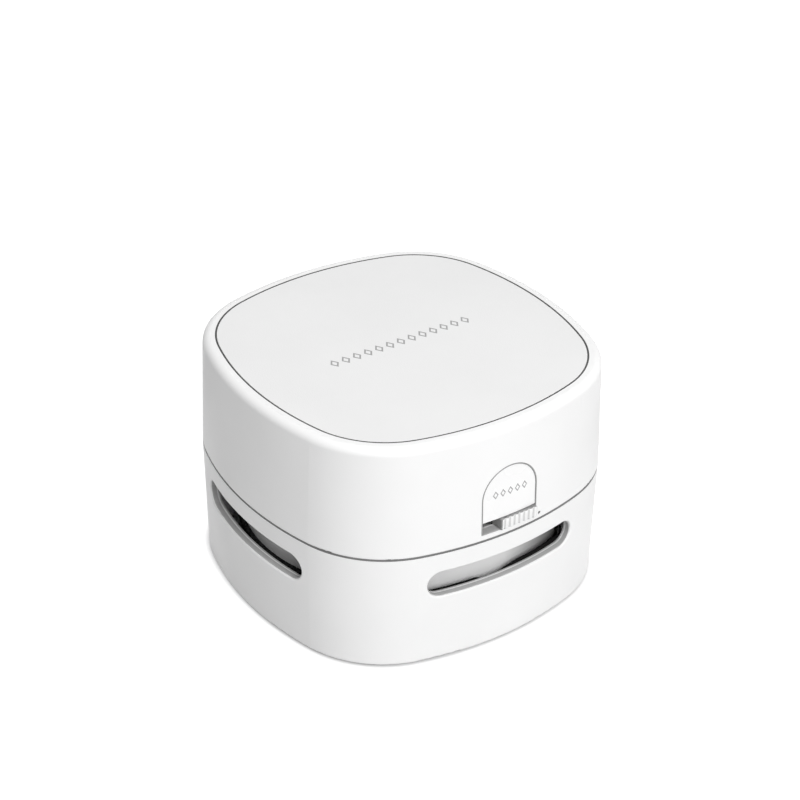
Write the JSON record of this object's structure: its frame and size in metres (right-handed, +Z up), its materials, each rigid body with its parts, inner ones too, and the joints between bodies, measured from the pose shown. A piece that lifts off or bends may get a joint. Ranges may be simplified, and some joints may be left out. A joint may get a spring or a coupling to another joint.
{
  "type": "desktop mini vacuum cleaner",
  "caption": "Squarish desktop mini vacuum with bowed sides, side air slots, a lift-off motor unit, a release button, a slide switch and a spinning brush underneath.",
  "frame": {"origin": "on the floor under the middle of the body", "axes": "+Z up; the side with the push button and slide switch faces -Y"},
  "size_m": [0.087, 0.0875, 0.0586],
  "materials": {
    "white_shell": "smooth white ABS, satin gloss",
    "cover_white": "fine matt white ABS",
    "knob_white": "white ABS with moulded ribs",
    "drum_grey": "light grey ABS",
    "dark_plastic": "black-grey ABS",
    "tray_plastic": "natural white ABS",
    "seal_foam": "closed-cell foam",
    "foot_rubber": "soft pads",
    "bristle_nylon": "nylon bristles",
    "steel": "plated steel",
    "bronze": "sintered bronze",
    "copper": "enamelled copper wire",
    "contact_metal": "nickel-plated spring steel",
    "magnet": "ferrite",
    "impeller_grey": "grey nylon",
    "board": "phenolic board",
    "cell_sleeve": null,
    "mesh_fabric": "fine nylon mesh",
    "lead_red": "PVC insulation",
    "lead_black": "PVC insulation",
    "lead_white": "PVC insulation"
  },
  "bodies": {
    "root": {"lower_shell": "white_shell", "base_plate": "white_shell", "glide_feet": "foot_rubber", "bristle_ring": "dark_plastic", "bristle_tufts": "bristle_nylon", "dust_cup": "dark_plastic", "cup_seal": "seal_foam", "spindle_bush": "bronze", "base_screws": "steel"},
    "brush": {"brush_spindle": "steel", "brush_hub": "dark_plastic", "brush_tufts": "bristle_nylon", "spindle_clip": "steel"},
    "power_unit": {"upper_shell": "white_shell", "fan_housing": "drum_grey", "motor_can": "steel", "motor_end_cap": "dark_plastic", "motor_magnets": "magnet", "motor_bushes": "bronze", "motor_brushes": "copper", "motor_terminals": "contact_metal", "motor_screws": "steel", "battery_tray": "tray_plastic", "tray_screws": "steel", "front_plate_contact": "contact_metal", "front_spring_contact": "contact_metal", "bridge_contact": "contact_metal", "switch_frame": "steel", "switch_base": "dark_plastic", "switch_terminals": "contact_metal", "switch_board": "board", "lead_cell_to_switch": "lead_red", "lead_switch_to_motor": "lead_white", "lead_cell_to_motor": "lead_black", "chassis_screws": "steel"},
    "rotor": {"motor_shaft": "steel", "armature_core": "steel", "armature_windings": "copper", "commutator": "copper", "impeller": "impeller_grey", "drive_dog": "dark_plastic"},
    "switch_slider": {"switch_knob": "knob_white", "switch_actuator": "dark_plastic"},
    "push_button": {"push_button": "white_shell", "release_latch": "steel", "button_spring": "steel"},
    "battery_cover": {"top_cover": "cover_white", "cover_pad": "seal_foam"},
    "battery_cells": {"battery_cell_left": "cell_sleeve", "battery_cell_right": "cell_sleeve"},
    "filter": {"filter_frame": "dark_plastic", "filter_mesh": "mesh_fabric", "filter_seal": "seal_foam"}
  },
  "joints": [
    {"name": "power_unit_lift", "type": "slide", "parent": "root", "child": "power_unit", "axis": [0, 0, 1], "range_m": [0, 0.045]},
    {"name": "filter_release", "type": "slide", "parent": "power_unit", "child": "filter", "axis": [0, 0, -1], "range_m": [0, 0.0225]},
    {"name": "cover_lift", "type": "slide", "parent": "power_unit", "child": "battery_cover", "axis": [0, 0, 1], "range_m": [0, 0.04]},
    {"name": "cells_lift", "type": "slide", "parent": "power_unit", "child": "battery_cells", "axis": [0, 0, 1], "range_m": [0, 0.02]},
    {"name": "button_press", "type": "slide", "parent": "power_unit", "child": "push_button", "axis": [0, 1, 0], "range_m": [0, 0.0012], "stiffness_N_per_m": 600, "springref_m": -0.001, "deforming": ["button_spring"]},
    {"name": "switch_slide", "type": "slide", "parent": "power_unit", "child": "switch_slider", "axis": [1, 0, 0], "range_m": [-0.0046, 0]},
    {"name": "rotor_spin", "type": "hinge", "parent": "power_unit", "child": "rotor", "pos_m": [0, 0, 0.03], "axis": [0, 0, 1], "continuous": true},
    {"name": "brush_spin", "type": "hinge", "parent": "root", "child": "brush", "pos_m": [0, 0, 0.007], "axis": [0, 0, 1], "continuous": true}
  ],
  "couplings": [
    {"joint": "filter_release", "follows": "power_unit_lift", "ratio": 0.5},
    {"joint": "cells_lift", "follows": "cover_lift", "ratio": 0.5},
    {"joint": "brush_spin", "follows": "rotor_spin", "ratio": 1}
  ]
}
